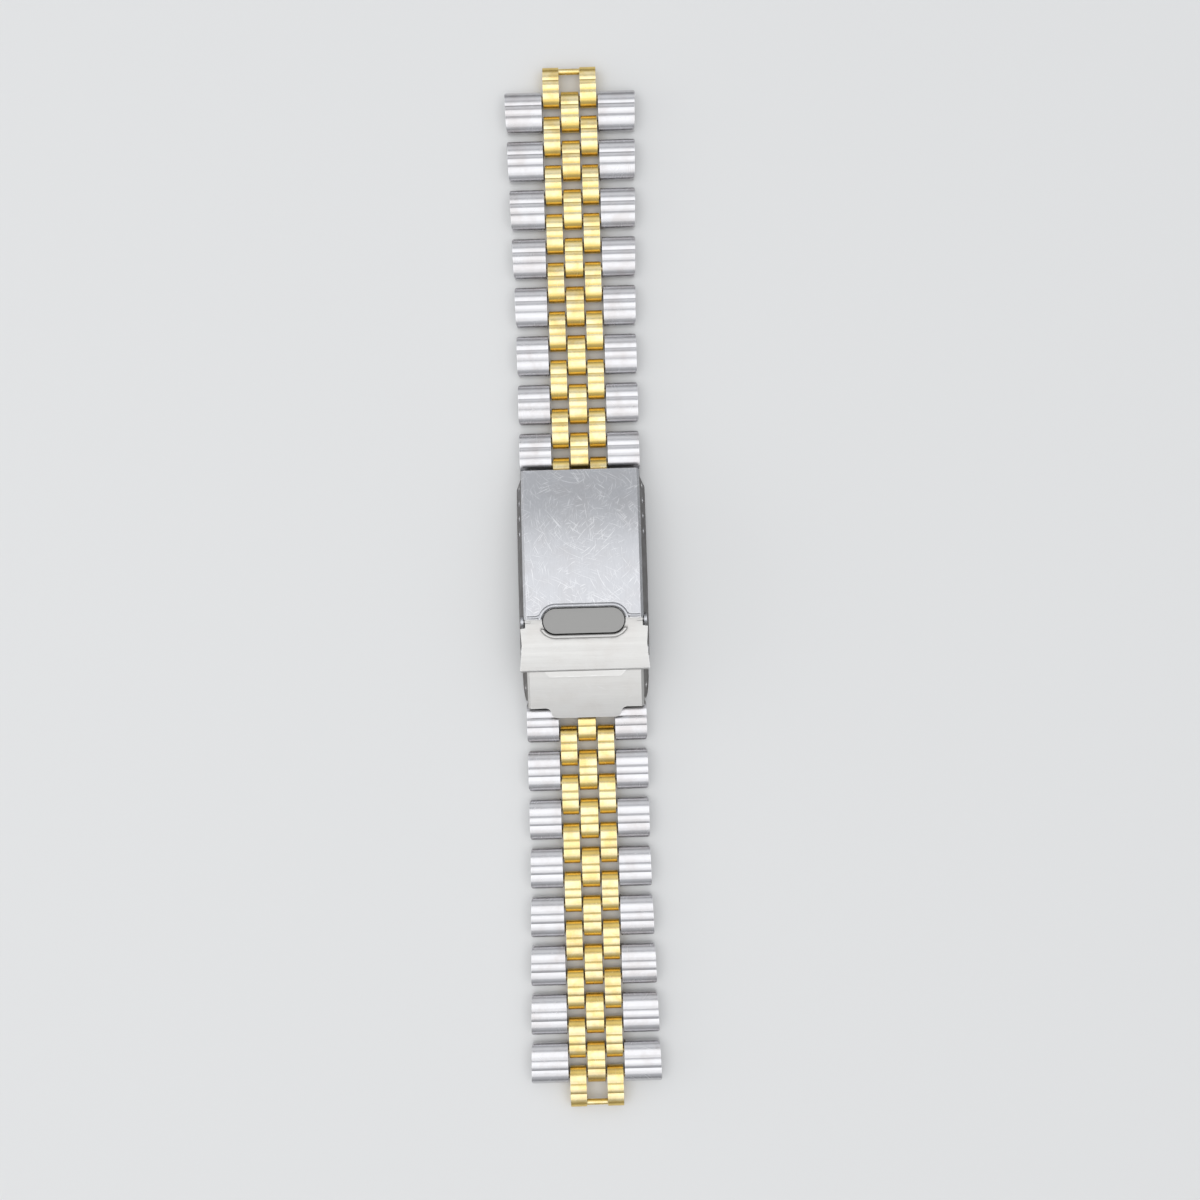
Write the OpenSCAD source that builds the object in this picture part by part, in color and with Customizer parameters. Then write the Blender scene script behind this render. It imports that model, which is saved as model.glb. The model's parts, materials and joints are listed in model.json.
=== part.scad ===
// Five-column link bracelet for a wristwatch, with a folding clasp and a flip-lock catch.
// X runs across the bracelet, Y along it and Z up. The bracelet lies flat and closed, and the
// origin is under its middle, on the surface that it lies on.

/* [Bracelet] */
// Rows of outer and centre links in each half
rows = 8; // [5:1:8]
// Width over the outer links at the watch
watch_width = 20; // [18:0.1:22]
// Width over the outer links at the clasp
clasp_width = 18.2; // [16:0.1:18.4]
// Number of rows along which the bracelet narrows
taper_rows = 5; // [2:0.5:8]
// Distance between neighbouring hinge pins
pin_pitch = 3.72; // [3.6:0.02:4]

/* [Links] */
// Length of a link
link_length = 6.2; // [6:0.05:6.6]
// Thickness of a link
link_thickness = 2.7; // [2.4:0.05:2.8]
// Distance from the middle of a link to each groove across its top
groove_at = 0.78; // [0.6:0.02:0.9]
// Depth of the two grooves
groove_depth = 0.22; // [0.15:0.01:0.3]
// Slope of an end lobe where it rises from its groove
lobe_slope = 12; // [5:1:15]
// Radius of the round ends of a link
end_r = 1.2; // [1.1:0.05:1.25]
// How far the middle of a round end lies below the middle of the link
end_drop = 0.35; // [0.25:0.05:0.4]
// Width of a centre link
centre_width = 2.7; // [2.3:0.05:3]
// Width of an inner link
inner_width = 2.45; // [2.1:0.05:2.7]
// Gap between neighbouring columns of links
column_gap = 0.25; // [0.15:0.01:0.35]
// Corner radius of an outer link, seen from above
outer_corner = 0.55; // [0.3:0.05:0.8]
// Width of the open seam under each folded link
seam_width = 0.25; // [0.1:0.05:0.5]
// Height of the hollow between the two pins inside a link
hollow_height = 0.55; // [0.3:0.05:0.8]

/* [Pins and bars] */
// Diameter of a hinge pin
pin_d = 0.9; // [0.7:0.05:1]
// Clearance between a pin and its hole, on the radius
pin_clearance = 0.05; // [0.03:0.01:0.08]
// How far a pin stops short of the outer face of the outer link
pin_recess = 0.3; // [0.1:0.05:0.6]
// Diameter of the bar across each watch end
end_bar_d = 0.9; // [0.7:0.05:1]
// Distance from the middle of the end bar to the tip of the end links
end_bar_inset = 0.75; // [0.7:0.05:1]
// Diameter of the spring bar's barrel
barrel_d = 1.5; // [1.3:0.05:1.6]
// Diameter of the bore through the barrel
barrel_bore = 1; // [0.8:0.05:1.1]
// Diameter of the spring bar's tips
tip_d = 0.8; // [0.6:0.05:0.9]
// How far a spring bar tip can be pushed in
tip_travel = 1.1; // [0.8:0.05:1.2]

/* [Rest pose] */
// Slope of the link that hangs on the spring bar
bar_link_slope = 17; // [14:0.5:20]
// Slope of the link that hangs on the end cap's pin
cap_link_slope = 16; // [15:0.5:20]
// Number of links that climb from the flat run to those two
climbing_links = 3; // [2:1:5]

/* [Clasp] */
// Length of the closed clasp along its curve
clasp_length = 38.4; // [37:0.1:40]
// Inner radius of the curve of the lowest blade
clasp_curve = 52; // [48:0.5:60]
// Thickness of the cover, the catch and the end cap
sheet = 0.8; // [0.6:0.05:0.9]
// Thickness of the two blades
blade_sheet = 0.9; // [0.7:0.05:1]
// Gap between the two closed blades
blade_gap = 0.2; // [0.15:0.01:0.3]
// Gap between a link and the sheet over or under it
link_gap = 0.3; // [0.25:0.01:0.4]
// Gap between the end cap and the link under it
cap_gap = 0.4; // [0.35:0.01:0.5]
// Half the width of the flat top of the cover
cover_half = 8.9; // [8.6:0.05:9.2]
// How far each side wall leans outwards from top to bottom
side_lean = 0.9; // [0.4:0.05:1.2]
// How much narrower the end cap is than the cover, on each side
cap_narrower = 0.15; // [0:0.05:0.5]
// Length of the cover from the spring bar end to the catch
cover_length = 22.8; // [22:0.1:24]
// Distance from the spring bar to the edge of the cover
bar_inset = 1.9; // [1.8:0.05:2.2]
// How far the cover's side walls stop short of its edge over the links
wall_setback = 1.1; // [0.8:0.05:1.8]
// Distance between the holes for the spring bar
hole_pitch = 2.5; // [2.2:0.05:3]
// Number of holes for the spring bar in each side wall
hole_count = 4; // [2:1:5]

/* [Blades] */
// Half the width of the folding blade
blade_half = 6; // [5:0.1:6.5]
// Half the width of the folding blade's middle knuckle
knuckle_half = 2.8; // [2:0.1:3.5]
// Clearance between knuckles, and between a knuckle and a wall
knuckle_gap = 0.25; // [0.15:0.01:0.4]
// Diameter of the pins of the blades
blade_pin_d = 1.1; // [0.9:0.05:1.2]
// Distance from the spring bar to the hinge between the blades
bar_to_hinge = 3.5; // [3.3:0.05:4.5]
// Half the width of the slot in the folding blade
slot_half = 1.6; // [1:0.1:2.2]
// Length of the slot in the folding blade
slot_length = 12; // [6:0.5:14]

/* [Catch and end cap] */
// Length of the oval between the cover and the catch
oval_length = 12.5; // [10:0.1:13.5]
// Width of the oval
oval_width = 4.1; // [3.6:0.05:4.4]
// Gap around the raised plate in the oval
oval_gap = 0.2; // [0.15:0.01:0.3]
// Width of the rolled lip around the oval and along the cover's end
lip_width = 0.6; // [0.4:0.05:0.7]
// Height of the rolled lip above the cover
lip_height = 0.3; // [0.2:0.05:0.35]
// Distance across which the lip curves from the oval's straight run out to each side
lip_reach = 3; // [2.8:0.1:3.5]
// Diameter of the two pivot stubs of the catch
pivot_d = 0.6; // [0.5:0.05:0.65]
// Depth of the hollow of the catch
catch_hollow = 0.4; // [0.2:0.05:0.5]
// How far the catch reaches over the end cap, before its finger lip
catch_overlap = 0.6; // [0.5:0.05:0.8]
// Gap between the catch and the end cap under its finger lip
catch_gap = 0.4; // [0.35:0.05:0.5]
// Half the width of the finger lip at its edge
finger_half = 5.3; // [4:0.1:6]
// Length of the end cap, without its tongue
cap_length = 7; // [6.8:0.1:7.4]
// Distance from the end of the cap's sides to its pin
cap_pin_inset = 2.65; // [2.5:0.05:3]
// Length of the tongue of the end cap
tongue_length = 1.6; // [1:0.1:1.8]
// Half the width of the tongue
tongue_half = 5.3; // [4.5:0.1:6]

/* [Hidden] */
$fn = 64;
UPPER = 1;
LOWER = -1;
row_list = [1 : rows];
inner_list = [0 : rows];

steel = [0.76, 0.77, 0.78];
dark_steel = [0.6, 0.61, 0.63];
gold = [0.86, 0.7, 0.33];
eps = 0.01;
sink = 0.05;
far = 30;

// Links: the side outline has a raised crown, two end lobes that run into the round ends and a
// flat underside. Each lobe is an arc from its groove that touches the round end.
link_r = link_thickness / 2;
end_centre = link_length / 2 - end_r;
groove_level = link_r - groove_depth;
crown_r = (groove_at * groove_at + groove_depth * groove_depth) / (2 * groove_depth);
lobe_reach = end_centre - groove_at;
lobe_height = groove_level + end_drop;
lobe_way = lobe_height * cos(lobe_slope) + lobe_reach * sin(lobe_slope) - end_r;
lobe_r = (lobe_reach * lobe_reach + lobe_height * lobe_height - end_r * end_r) / (2 * lobe_way);
lobe_x = groove_at + lobe_r * sin(lobe_slope);
lobe_z = groove_level - lobe_r * cos(lobe_slope);
link_overhang = (link_length - pin_pitch) / 2;
pin_hole = pin_d + 2 * pin_clearance;
barrel_hole = barrel_d + 2 * pin_clearance;
end_bar_hole = end_bar_d + 2 * pin_clearance;
end_bar_at = link_length / 2 - end_bar_inset;
inner_x = (centre_width + inner_width) / 2 + column_gap;
inner_edge = inner_x + inner_width / 2;
outer_edge = inner_edge + column_gap;
inside_corner = outer_corner / 2;
clasp_pin = 2 * rows + 1;
taper_length = taper_rows * 2 * pin_pitch;

// Clasp: radii from the axis of its curve, from the wrist outwards
knuckle_bulge = 0.05;
base_top = clasp_curve + blade_sheet;
fold_low = base_top + blade_gap;
fold_top = fold_low + blade_sheet;
bar_r = fold_top + link_gap + link_r;
cover_low = bar_r + link_r + link_gap;
cover_top = cover_low + sheet;
cap_pin_r = base_top + link_gap + link_r;
cap_low = cap_pin_r + link_r + cap_gap;
cap_top = cap_low + sheet;
hinge_r = (base_top + fold_low) / 2;
hinge_knuckle_r = fold_top - hinge_r + knuckle_bulge;
cover_hinge_knuckle_r = hinge_knuckle_r - knuckle_bulge;
cover_hinge_r = base_top + link_gap + cover_hinge_knuckle_r;
step_low = cover_hinge_r + cover_hinge_knuckle_r + blade_gap;
step_top = step_low + sheet;
wall_low = base_top + link_gap;
plate_top = cover_top - link_gap;

// Clasp: places along its curve, in millimetres on the cover's top from the crown of the arch
edge_s = clasp_length / 2;
joint_s = edge_s - cover_length;
bar_s = edge_s - bar_inset;
hinge_s = bar_s - bar_to_hinge * cover_top / bar_r;
tongue_s = -clasp_length / 2;
cap_end_s = tongue_s + tongue_length;
cap_front_s = cap_end_s + cap_length;
cap_pin_s = cap_end_s + cap_pin_inset;
cap_wall_reach = pin_pitch - link_overhang - 1.5 * link_gap;
cap_wall_r = cap_pin_r - clasp_curve - sink;
cap_wall_s = cap_pin_s + (cap_wall_r - cap_wall_reach) * cover_top / cap_pin_r;
tongue_bevel = sheet / 2;
base_end_s = cap_pin_s + link_r - sheet;
step_end_s = cap_front_s + link_gap;
cover_hinge_s = step_end_s + cover_hinge_knuckle_r + link_gap;
oval_s = joint_s - lip_width / 2;
pivot_s = oval_s;
pivot_r = cover_low - link_gap;
pivot_lug_r = pivot_r - step_top - knuckle_bulge - pin_clearance;
joint_relief_r = pivot_lug_r + 3 * pin_clearance;
ear_half = sheet / 4;
ear_x = cover_half + side_lean / 3;
ear_clear = ear_x - ear_half - knuckle_gap;
catch_knuckle_x = ear_clear - sheet / 2;
lip_s = cap_front_s - catch_overlap;
lip_mid = (oval_width + lip_width) / 2;
oval_run = (oval_length - oval_width) / 2;
joint_lip_at = joint_s - oval_s + sink + lip_width / 2;
catch_lip_from = 0.3 * oval_width;

// Catch: a hollowed sheet seen from the side, measured from its pivot
catch_reach = (pivot_s - lip_s) * pivot_r / cover_top;
catch_front = pivot_lug_r - 3 * pin_clearance;
catch_chord = catch_reach + catch_front;
catch_bow_r = (catch_chord * catch_chord / 4 + catch_hollow * catch_hollow) / (2 * catch_hollow);
catch_mid = sheet / 2 - link_gap + pin_clearance;
catch_knuckle_r = catch_mid + sheet / 2 - sink;
catch_lip_base = pivot_r + catch_mid + sheet / 2;
catch_rise = cap_top + catch_gap + sheet / 2 - catch_reach * catch_reach / (2 * pivot_r)
    - pivot_r - catch_mid;
catch_tilt = atan(catch_rise / catch_chord);
finger_r = sheet;
finger_turn = 0.8;
finger_edge = catch_reach + finger_r * 0.4;
catch_corner = sheet * 0.4;
catch_waist = cover_half + side_lean / 2;

// Fits across the clasp
cap_half = cover_half - cap_narrower;
wall_top = cover_top - sheet / 2;
bar_wall = cover_half + side_lean * (wall_top - bar_r) / (wall_top - wall_low);
barrel_lean = side_lean * (cover_low - bar_r - barrel_d / 2) / (cover_low - wall_low);
barrel_half = cover_half - sheet + barrel_lean - pin_clearance;
barrel_rim = 0.2;
shoulder_d = barrel_bore - 2 * pin_clearance;
shoulder_out = barrel_half - barrel_rim;
shoulder_length = 2.4;
spring_half = shoulder_out - shoulder_length - tip_travel - 2 * pin_clearance;
step_lean = side_lean * (cover_low - step_low) / (cover_low - wall_low);
cover_knuckle_half = cover_half - sheet + step_lean - knuckle_gap;
cap_seat_half = cap_half - sheet - pin_clearance
    + side_lean * (cap_top - sheet / 2 - base_top) / (cap_top - sheet / 2 - clasp_curve);
hinge_reach = hinge_knuckle_r + knuckle_gap;
climb_s = joint_s + oval_width / 2 + lip_width;
function arc(s) = s / cover_top * 180 / PI;

// The clasp stands on the round ends of the end cap's side walls
axis_z = cap_wall_r - cap_pin_r * cos(arc(cap_wall_s));
function arc_point(s, r) = [r * sin(arc(s)), axis_z + r * cos(arc(s))];

// Chain: each link hangs on its clasp-side pin, and the first ones climb to the clasp
function clasp_pin_at(half) = half == UPPER ? arc_point(bar_s, bar_r) : arc_point(cap_pin_s, cap_pin_r);
function first_slope(half) = half == UPPER ? bar_link_slope : cap_link_slope;
function climb_rise(half) = clasp_pin_at(half)[1] - link_r - pin_pitch * sin(first_slope(half));
climb_shares = climbing_links * (climbing_links + 1) / 2;
function climb_step(half) = climb_rise(half) / (pin_pitch * climb_shares);
function climb_share(n) = max(0, climbing_links - (clasp_pin - 2 - n));
function slope(half, n) = n >= clasp_pin - 1 ? first_slope(half) : asin(climb_step(half) * climb_share(n));
function outward(half, n) = [half * cos(slope(half, n)), -sin(slope(half, n))];
function pin_at(half, n) = n == clasp_pin ? clasp_pin_at(half)
    : pin_at(half, n + 1) + pin_pitch * outward(half, n);
function link_at(half, n) = pin_at(half, n + 1) + pin_pitch / 2 * outward(half, n);
function end_y(half) = link_at(half, 0)[0] + half * link_length / 2;
shift_y = -(end_y(UPPER) + end_y(LOWER)) / 2;

// Half the width of the bracelet at a distance from the end bar
function half_width(s) = watch_width / 2
    - (watch_width - clasp_width) / 2 * min(1, max(0, s / taper_length));
function pin_s(n) = end_bar_at + pin_pitch / 2 + (n - 1) * pin_pitch;
function corner(c, r, from) = [for (i = [0 : 3]) c + r * [cos(from + 30 * i), sin(from + 30 * i)]];

module place_link(half, n) {
    p = link_at(half, n);
    translate([0, p[0] + shift_y, p[1]])
        rotate([0, 0, half == UPPER ? 0 : 180])
            rotate([-slope(half, n), 0, 0])
                children();
}

module across(width) {
    rotate([90, 0, 90])
        linear_extrude(height = width, center = true)
            children();
}

module link_outline() {
    touch_x = end_centre + (end_centre - lobe_x) * end_r / (lobe_r - end_r);
    intersection() {
        union() {
            for (side = [-1, 1]) {
                translate([side * end_centre, -end_drop])
                    circle(r = end_r);
                intersection() {
                    translate([side * lobe_x, lobe_z])
                        circle(r = lobe_r);
                    translate([side > 0 ? groove_at : -touch_x, -end_drop])
                        square([touch_x - groove_at, link_thickness]);
                }
            }
            intersection() {
                translate([0, link_r - crown_r])
                    circle(r = crown_r);
                translate([-groove_at, 0])
                    square([2 * groove_at, link_thickness]);
            }
            translate([-end_centre, -link_r])
                square([2 * end_centre, link_r + sink]);
        }
        translate([-link_length, -link_r])
            square([2 * link_length, link_thickness]);
    }
}

// Side outline of a folded link, with its two holes, the hollow between them and the seam
module link_profile(outer_hole = pin_hole, outer_at = pin_pitch / 2, clasp_hole = pin_hole) {
    difference() {
        link_outline();
        translate([outer_at, 0])
            circle(d = outer_hole);
        translate([-pin_pitch / 2, 0])
            circle(d = clasp_hole);
        translate([-pin_pitch / 2, -hollow_height / 2])
            square([outer_at + pin_pitch / 2, hollow_height]);
        translate([-seam_width / 2, -link_thickness])
            square([seam_width, link_thickness]);
    }
}

// Outline of a right-hand outer link from above, wider towards the watch
module outer_plan(watch_half, clasp_half) {
    reach = link_length / 2 + eps;
    polygon(concat(
        corner([watch_half - outer_corner, reach - outer_corner], outer_corner, 0),
        corner([outer_edge + inside_corner, reach - inside_corner], inside_corner, 90),
        corner([outer_edge + inside_corner, inside_corner - reach], inside_corner, 180),
        corner([clasp_half - outer_corner, outer_corner - reach], outer_corner, 270)));
}

module outer_links(half, row) {
    n = 2 * row - 1;
    middle_s = pin_s(n) + pin_pitch / 2;
    watch_half = half_width(middle_s - link_length / 2);
    clasp_half = half_width(middle_s + link_length / 2);
    color(steel)
        place_link(half, n)
            for (side = [0, 1])
                mirror([side, 0, 0])
                    intersection() {
                        across(watch_width)
                            link_profile();
                        translate([0, 0, -link_thickness])
                            linear_extrude(height = 2 * link_thickness)
                                outer_plan(watch_half, clasp_half);
                    }
}

module centre_link(half, row) {
    color(gold)
        place_link(half, 2 * row - 1)
            across(centre_width)
                link_profile();
}

module hinge_pin(at, reach) {
    translate([0, at, 0])
        across(2 * reach)
            circle(d = pin_d);
}

// Two inner links with the pins that ride in them
module inner_links(half, row) {
    n = 2 * row;
    at_watch = row == 0;
    at_clasp = row == rows;
    on_bar = at_clasp && half == UPPER;
    cap_reach = cap_half + side_lean / 2;
    clasp_reach = at_clasp ? cap_reach : half_width(pin_s(n + 1)) - pin_recess;
    color(gold)
        place_link(half, n) {
            for (side = [-1, 1])
                translate([side * inner_x, 0, 0])
                    across(inner_width)
                        link_profile(
                            outer_hole = at_watch ? end_bar_hole : pin_hole,
                            outer_at = at_watch ? end_bar_at : pin_pitch / 2,
                            clasp_hole = on_bar ? barrel_hole : pin_hole);
            if (at_watch)
                translate([0, end_bar_at, 0])
                    across(2 * inner_edge)
                        circle(d = end_bar_d);
            else
                hinge_pin(pin_pitch / 2, half_width(pin_s(n)) - pin_recess);
            if (!on_bar)
                hinge_pin(-pin_pitch / 2, clasp_reach);
        }
}

// Sweeps a section, drawn with the radius on its X axis, along the curve of the clasp
module arc_sweep(from_s, to_s) {
    translate([0, shift_y, axis_z])
        rotate([90, 0, 90])
            rotate([0, 0, 90 - arc(to_s)])
                rotate_extrude(angle = arc(to_s) - arc(from_s))
                    children();
}

module on_arc(s, r) {
    translate([0, shift_y, axis_z])
        rotate([-arc(s), 0, 0])
            translate([0, 0, r])
                children();
}

module strip(low, top, half_w) {
    translate([low, -half_w])
        square([top - low, 2 * half_w]);
}

module arc_rod(s, r, d, reach) {
    on_arc(s, r)
        across(2 * reach)
            circle(d = d);
}

// Section of a sheet with two side walls that lean outwards
module channel(top, bottom, half_w, lean) {
    bevel = sheet / 2;
    right = [
        [top, half_w - bevel],
        [top - bevel, half_w],
        [bottom, half_w + lean],
        [bottom, half_w + lean - sheet],
        [top - sheet, half_w - sheet]];
    left = [for (i = [4 : -1 : 0]) [right[i][0], -right[i][1]]];
    polygon(concat(right, left));
}

module oval(length, width, height) {
    run = (length - width) / 2;
    linear_extrude(height = height) {
        for (side = [-1, 1])
            translate([side * run, 0])
                circle(d = width);
        square([2 * run, width], center = true);
    }
}

// Section of a rolled lip: a wall with a round top
module lip_section(width, height) {
    round_r = width / 2;
    translate([0, height - round_r])
        circle(r = round_r);
    translate([-round_r, -sheet / 2])
        square([width, height - round_r + sheet / 2]);
}

// Rolled lip round the whole oval
module lip_ring(height) {
    for (side = [-1, 1]) {
        translate([side * oval_run, 0, 0])
            rotate([0, 0, -90 * side])
                rotate_extrude(angle = 180)
                    translate([lip_mid, 0])
                        lip_section(lip_width, height);
        translate([0, side * lip_mid, 0])
            across(2 * oval_run)
                lip_section(lip_width, height);
    }
}

module beyond(from) {
    intersection() {
        children();
        translate([-far, from, -far])
            cube([2 * far, far, 2 * far]);
    }
}

// Rolled lip of the cover: round its half of the oval, and in a curve out to each side
module cover_lip() {
    curve_r = (lip_reach * lip_reach + joint_lip_at * joint_lip_at - lip_mid * lip_mid)
        / (2 * (lip_mid - joint_lip_at));
    curve_x = oval_run + lip_reach;
    curve_up = joint_lip_at + curve_r;
    turn = atan(lip_reach / curve_up);
    lip_end = cover_half - sheet / 2 - sink;
    side_width = lip_width - 2 * sink;
    on_arc(oval_s, cover_top) {
        beyond(joint_s - oval_s + sink)
            lip_ring(lip_height);
        for (side = [0, 1])
            mirror([side, 0, 0]) {
                translate([curve_x, curve_up, 0])
                    rotate([0, 0, -90])
                        mirror([0, 1, 0])
                            rotate_extrude(angle = turn)
                                translate([curve_r, 0])
                                    lip_section(side_width, lip_height - sink);
                translate([(curve_x + lip_end) / 2, joint_lip_at, 0])
                    across(lip_end - curve_x)
                        lip_section(side_width, lip_height - sink);
            }
    }
}

module cover_shell() {
    difference() {
        arc_sweep(step_end_s, edge_s)
            channel(cover_top, wall_low, cover_half, side_lean);
        arc_sweep(step_end_s - sheet, joint_s)
            strip(step_top - sheet / 4, cover_top + far, far / 2);
        arc_sweep(edge_s - wall_setback, edge_s + wall_setback)
            strip(clasp_curve - far / 2, cover_low, far / 2);
        on_arc(oval_s, step_top)
            oval(oval_length, oval_width, far);
    }
    cover_lip();
}

// Lowered shelf of the cover under the catch, with the riser at its end
module cover_step() {
    arc_sweep(step_end_s, climb_s + sheet / 2)
        strip(step_low, step_top, cover_half);
    arc_sweep(climb_s, climb_s + sheet)
        strip(step_low + sink, cover_low + sink, cover_half - 1.5 * sheet);
    on_arc(oval_s, step_top - sink)
        oval(oval_length - 2 * oval_gap, oval_width - 2 * oval_gap, plate_top - step_top + sink);
}

module pivot_ears() {
    for (side = [-1, 1])
        translate([side * ear_x, 0, 0]) {
            arc_rod(pivot_s, pivot_r, 2 * pivot_lug_r, ear_half);
            on_arc(pivot_s, step_low)
                translate([-ear_half, -pivot_lug_r, 0])
                    cube([2 * ear_half, 2 * pivot_lug_r, pivot_r - step_low]);
        }
}

module clasp_cover() {
    color(steel)
        difference() {
            union() {
                difference() {
                    cover_shell();
                    arc_rod(pivot_s, pivot_r, 2 * joint_relief_r, far / 2);
                }
                cover_step();
                pivot_ears();
            }
            for (i = [0 : hole_count - 1])
                arc_rod(bar_s - i * hole_pitch, bar_r, tip_d + 2 * pin_clearance, far / 2);
            arc_rod(cover_hinge_s, cover_hinge_r, blade_pin_d + 2 * pin_clearance, far / 2);
            arc_rod(pivot_s, pivot_r, pivot_d + 2 * pin_clearance, far / 2);
        }
}

// Side outline of the catch: a hollowed sheet that ends in an upturned finger lip
module catch_outline() {
    translate([0, catch_mid]) {
        intersection() {
            translate([catch_front - catch_chord / 2, catch_bow_r - catch_hollow])
                difference() {
                    circle(r = catch_bow_r + sheet / 2, $fn = 180);
                    circle(r = catch_bow_r - sheet / 2, $fn = 180);
                }
            translate([-catch_reach, -2 * sheet])
                square([catch_chord, 4 * sheet]);
        }
        intersection() {
            translate([-catch_reach + eps, finger_r])
                difference() {
                    circle(r = finger_r + sheet / 2);
                    circle(r = finger_r - sheet / 2);
                }
            translate([-catch_reach - far, -far])
                square([far + 2 * eps, far + finger_turn * finger_r]);
        }
    }
}

// Outline of the catch from above: waisted, with a longer finger lip in the middle
module catch_plan() {
    shoulder = -pivot_lug_r - knuckle_gap;
    right = [
        [ear_clear, catch_front],
        [ear_clear, shoulder],
        [catch_waist + catch_corner / 2, shoulder - catch_corner / 2],
        [catch_waist, -catch_reach / 2],
        [catch_waist + catch_corner, catch_corner - finger_edge],
        [catch_waist + catch_corner / 2, -finger_edge],
        [finger_half + finger_r, -finger_edge],
        [finger_half, -finger_edge - finger_r],
        [finger_half, -catch_reach - far / 2]];
    left = [for (i = [len(right) - 1 : -1 : 0]) [-right[i][0], right[i][1]]];
    polygon(concat(right, left));
}

module safety_catch() {
    color(steel)
        difference() {
            union() {
                difference() {
                    on_arc(pivot_s, pivot_r)
                        intersection() {
                            rotate([-catch_tilt, 0, 0])
                                across(far)
                                    catch_outline();
                            translate([0, 0, -far / 2])
                                linear_extrude(height = far)
                                    catch_plan();
                        }
                    on_arc(oval_s, step_top)
                        oval(oval_length, oval_width, far);
                }
                on_arc(oval_s, catch_lip_base)
                    rotate([0, 0, 180])
                        beyond(catch_lip_from)
                            lip_ring(cover_top - catch_lip_base);
                for (side = [-1, 1])
                    translate([side * catch_knuckle_x, 0, 0])
                        arc_rod(pivot_s, pivot_r, 2 * catch_knuckle_r, sheet / 2);
            }
            arc_rod(pivot_s, pivot_r, pivot_d + 2 * pin_clearance, far / 2);
        }
}

// Pin of the folding blade and the two pivot stubs of the catch
module cover_pins() {
    color(dark_steel) {
        arc_rod(cover_hinge_s, cover_hinge_r, blade_pin_d, cover_half + side_lean / 2);
        for (side = [-1, 1])
            translate([side * (catch_knuckle_x + ear_x + ear_half) / 2, 0, 0])
                arc_rod(pivot_s, pivot_r, pivot_d, (ear_x + ear_half - catch_knuckle_x) / 2);
    }
}

module folding_blade() {
    slot_middle = (cover_hinge_s + hinge_s) / 2;
    color(dark_steel)
        difference() {
            union() {
                difference() {
                    arc_sweep(cover_hinge_s, hinge_s)
                        strip(fold_low, fold_top, blade_half);
                    for (side = [-1, 1])
                        translate([side * (knuckle_half + far / 2), 0, 0])
                            arc_rod(hinge_s, hinge_r, 2 * hinge_reach, far / 2);
                }
                arc_rod(hinge_s, hinge_r, 2 * hinge_knuckle_r, knuckle_half);
                arc_rod(cover_hinge_s, cover_hinge_r, 2 * cover_hinge_knuckle_r, cover_knuckle_half);
            }
            arc_rod(hinge_s, hinge_r, blade_pin_d + 2 * pin_clearance, far / 2);
            arc_rod(cover_hinge_s, cover_hinge_r, blade_pin_d + 2 * pin_clearance, far / 2);
            on_arc(slot_middle, hinge_r - blade_sheet)
                rotate([0, 0, 90])
                    oval(slot_length, 2 * slot_half, far);
        }
}

module base_blade() {
    side_width = blade_half - knuckle_half - knuckle_gap;
    color(dark_steel)
        difference() {
            union() {
                difference() {
                    arc_sweep(base_end_s, hinge_s)
                        strip(clasp_curve, base_top, cap_seat_half);
                    for (side = [-1, 1])
                        translate([side * (blade_half + far / 2), 0, 0])
                            on_arc(cap_front_s + sheet / 4, clasp_curve)
                                translate([-far / 2, 0, -far / 2])
                                    cube(far);
                    arc_rod(hinge_s, hinge_r, 2 * hinge_reach, knuckle_half + knuckle_gap);
                }
                for (side = [-1, 1])
                    translate([side * (blade_half - side_width / 2), 0, 0])
                        arc_rod(hinge_s, hinge_r, 2 * hinge_knuckle_r, side_width / 2);
            }
            arc_rod(hinge_s, hinge_r, blade_pin_d + 2 * pin_clearance, far / 2);
        }
}

module tongue_plan() {
    tip_r = tongue_length / 2;
    root_r = tongue_length / 2;
    right = concat(
        [[tongue_half + root_r, sheet], [tongue_half + root_r, 0]],
        [for (i = [1 : 3]) [tongue_half + root_r, -root_r] + root_r * [cos(90 + 30 * i), sin(90 + 30 * i)]],
        [for (i = [0 : 3]) [tongue_half - tip_r, -tip_r] + tip_r * [cos(-30 * i), sin(-30 * i)]]);
    left = [for (i = [len(right) - 1 : -1 : 0]) [-right[i][0], right[i][1]]];
    polygon(concat(right, left));
}

// Side outline of the tongue, with its lower edge bevelled to clear the link under it
module tongue_side() {
    polygon([
        [2 * sheet, -sheet],
        [tongue_bevel - tongue_length, -sheet],
        [tongue_bevel - tongue_length, 0],
        [-tongue_length, tongue_bevel],
        [-tongue_length - sheet, tongue_bevel],
        [-tongue_length - sheet, 2 * sheet],
        [2 * sheet, 2 * sheet]]);
}

module end_cap() {
    color(steel) {
        difference() {
            arc_sweep(cap_end_s, cap_front_s)
                channel(cap_top, clasp_curve, cap_half, side_lean);
            difference() {
                arc_sweep(cap_end_s - sheet, cap_wall_s)
                    strip(clasp_curve - sheet, cap_low, far / 2);
                arc_rod(cap_wall_s, cap_pin_r, 2 * cap_wall_r, far);
            }
            arc_rod(cap_pin_s, cap_pin_r, pin_hole, far / 2);
        }
        intersection() {
            arc_sweep(tongue_s - sheet, cap_end_s + sheet)
                strip(cap_low, cap_top, cap_half - sheet);
            on_arc(cap_end_s, cap_low - sheet)
                linear_extrude(height = 3 * sheet)
                    tongue_plan();
            on_arc(cap_end_s, cap_low)
                across(far)
                    tongue_side();
        }
    }
}

module blade_pin() {
    color(dark_steel)
        arc_rod(hinge_s, hinge_r, blade_pin_d, blade_half);
}

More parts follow.
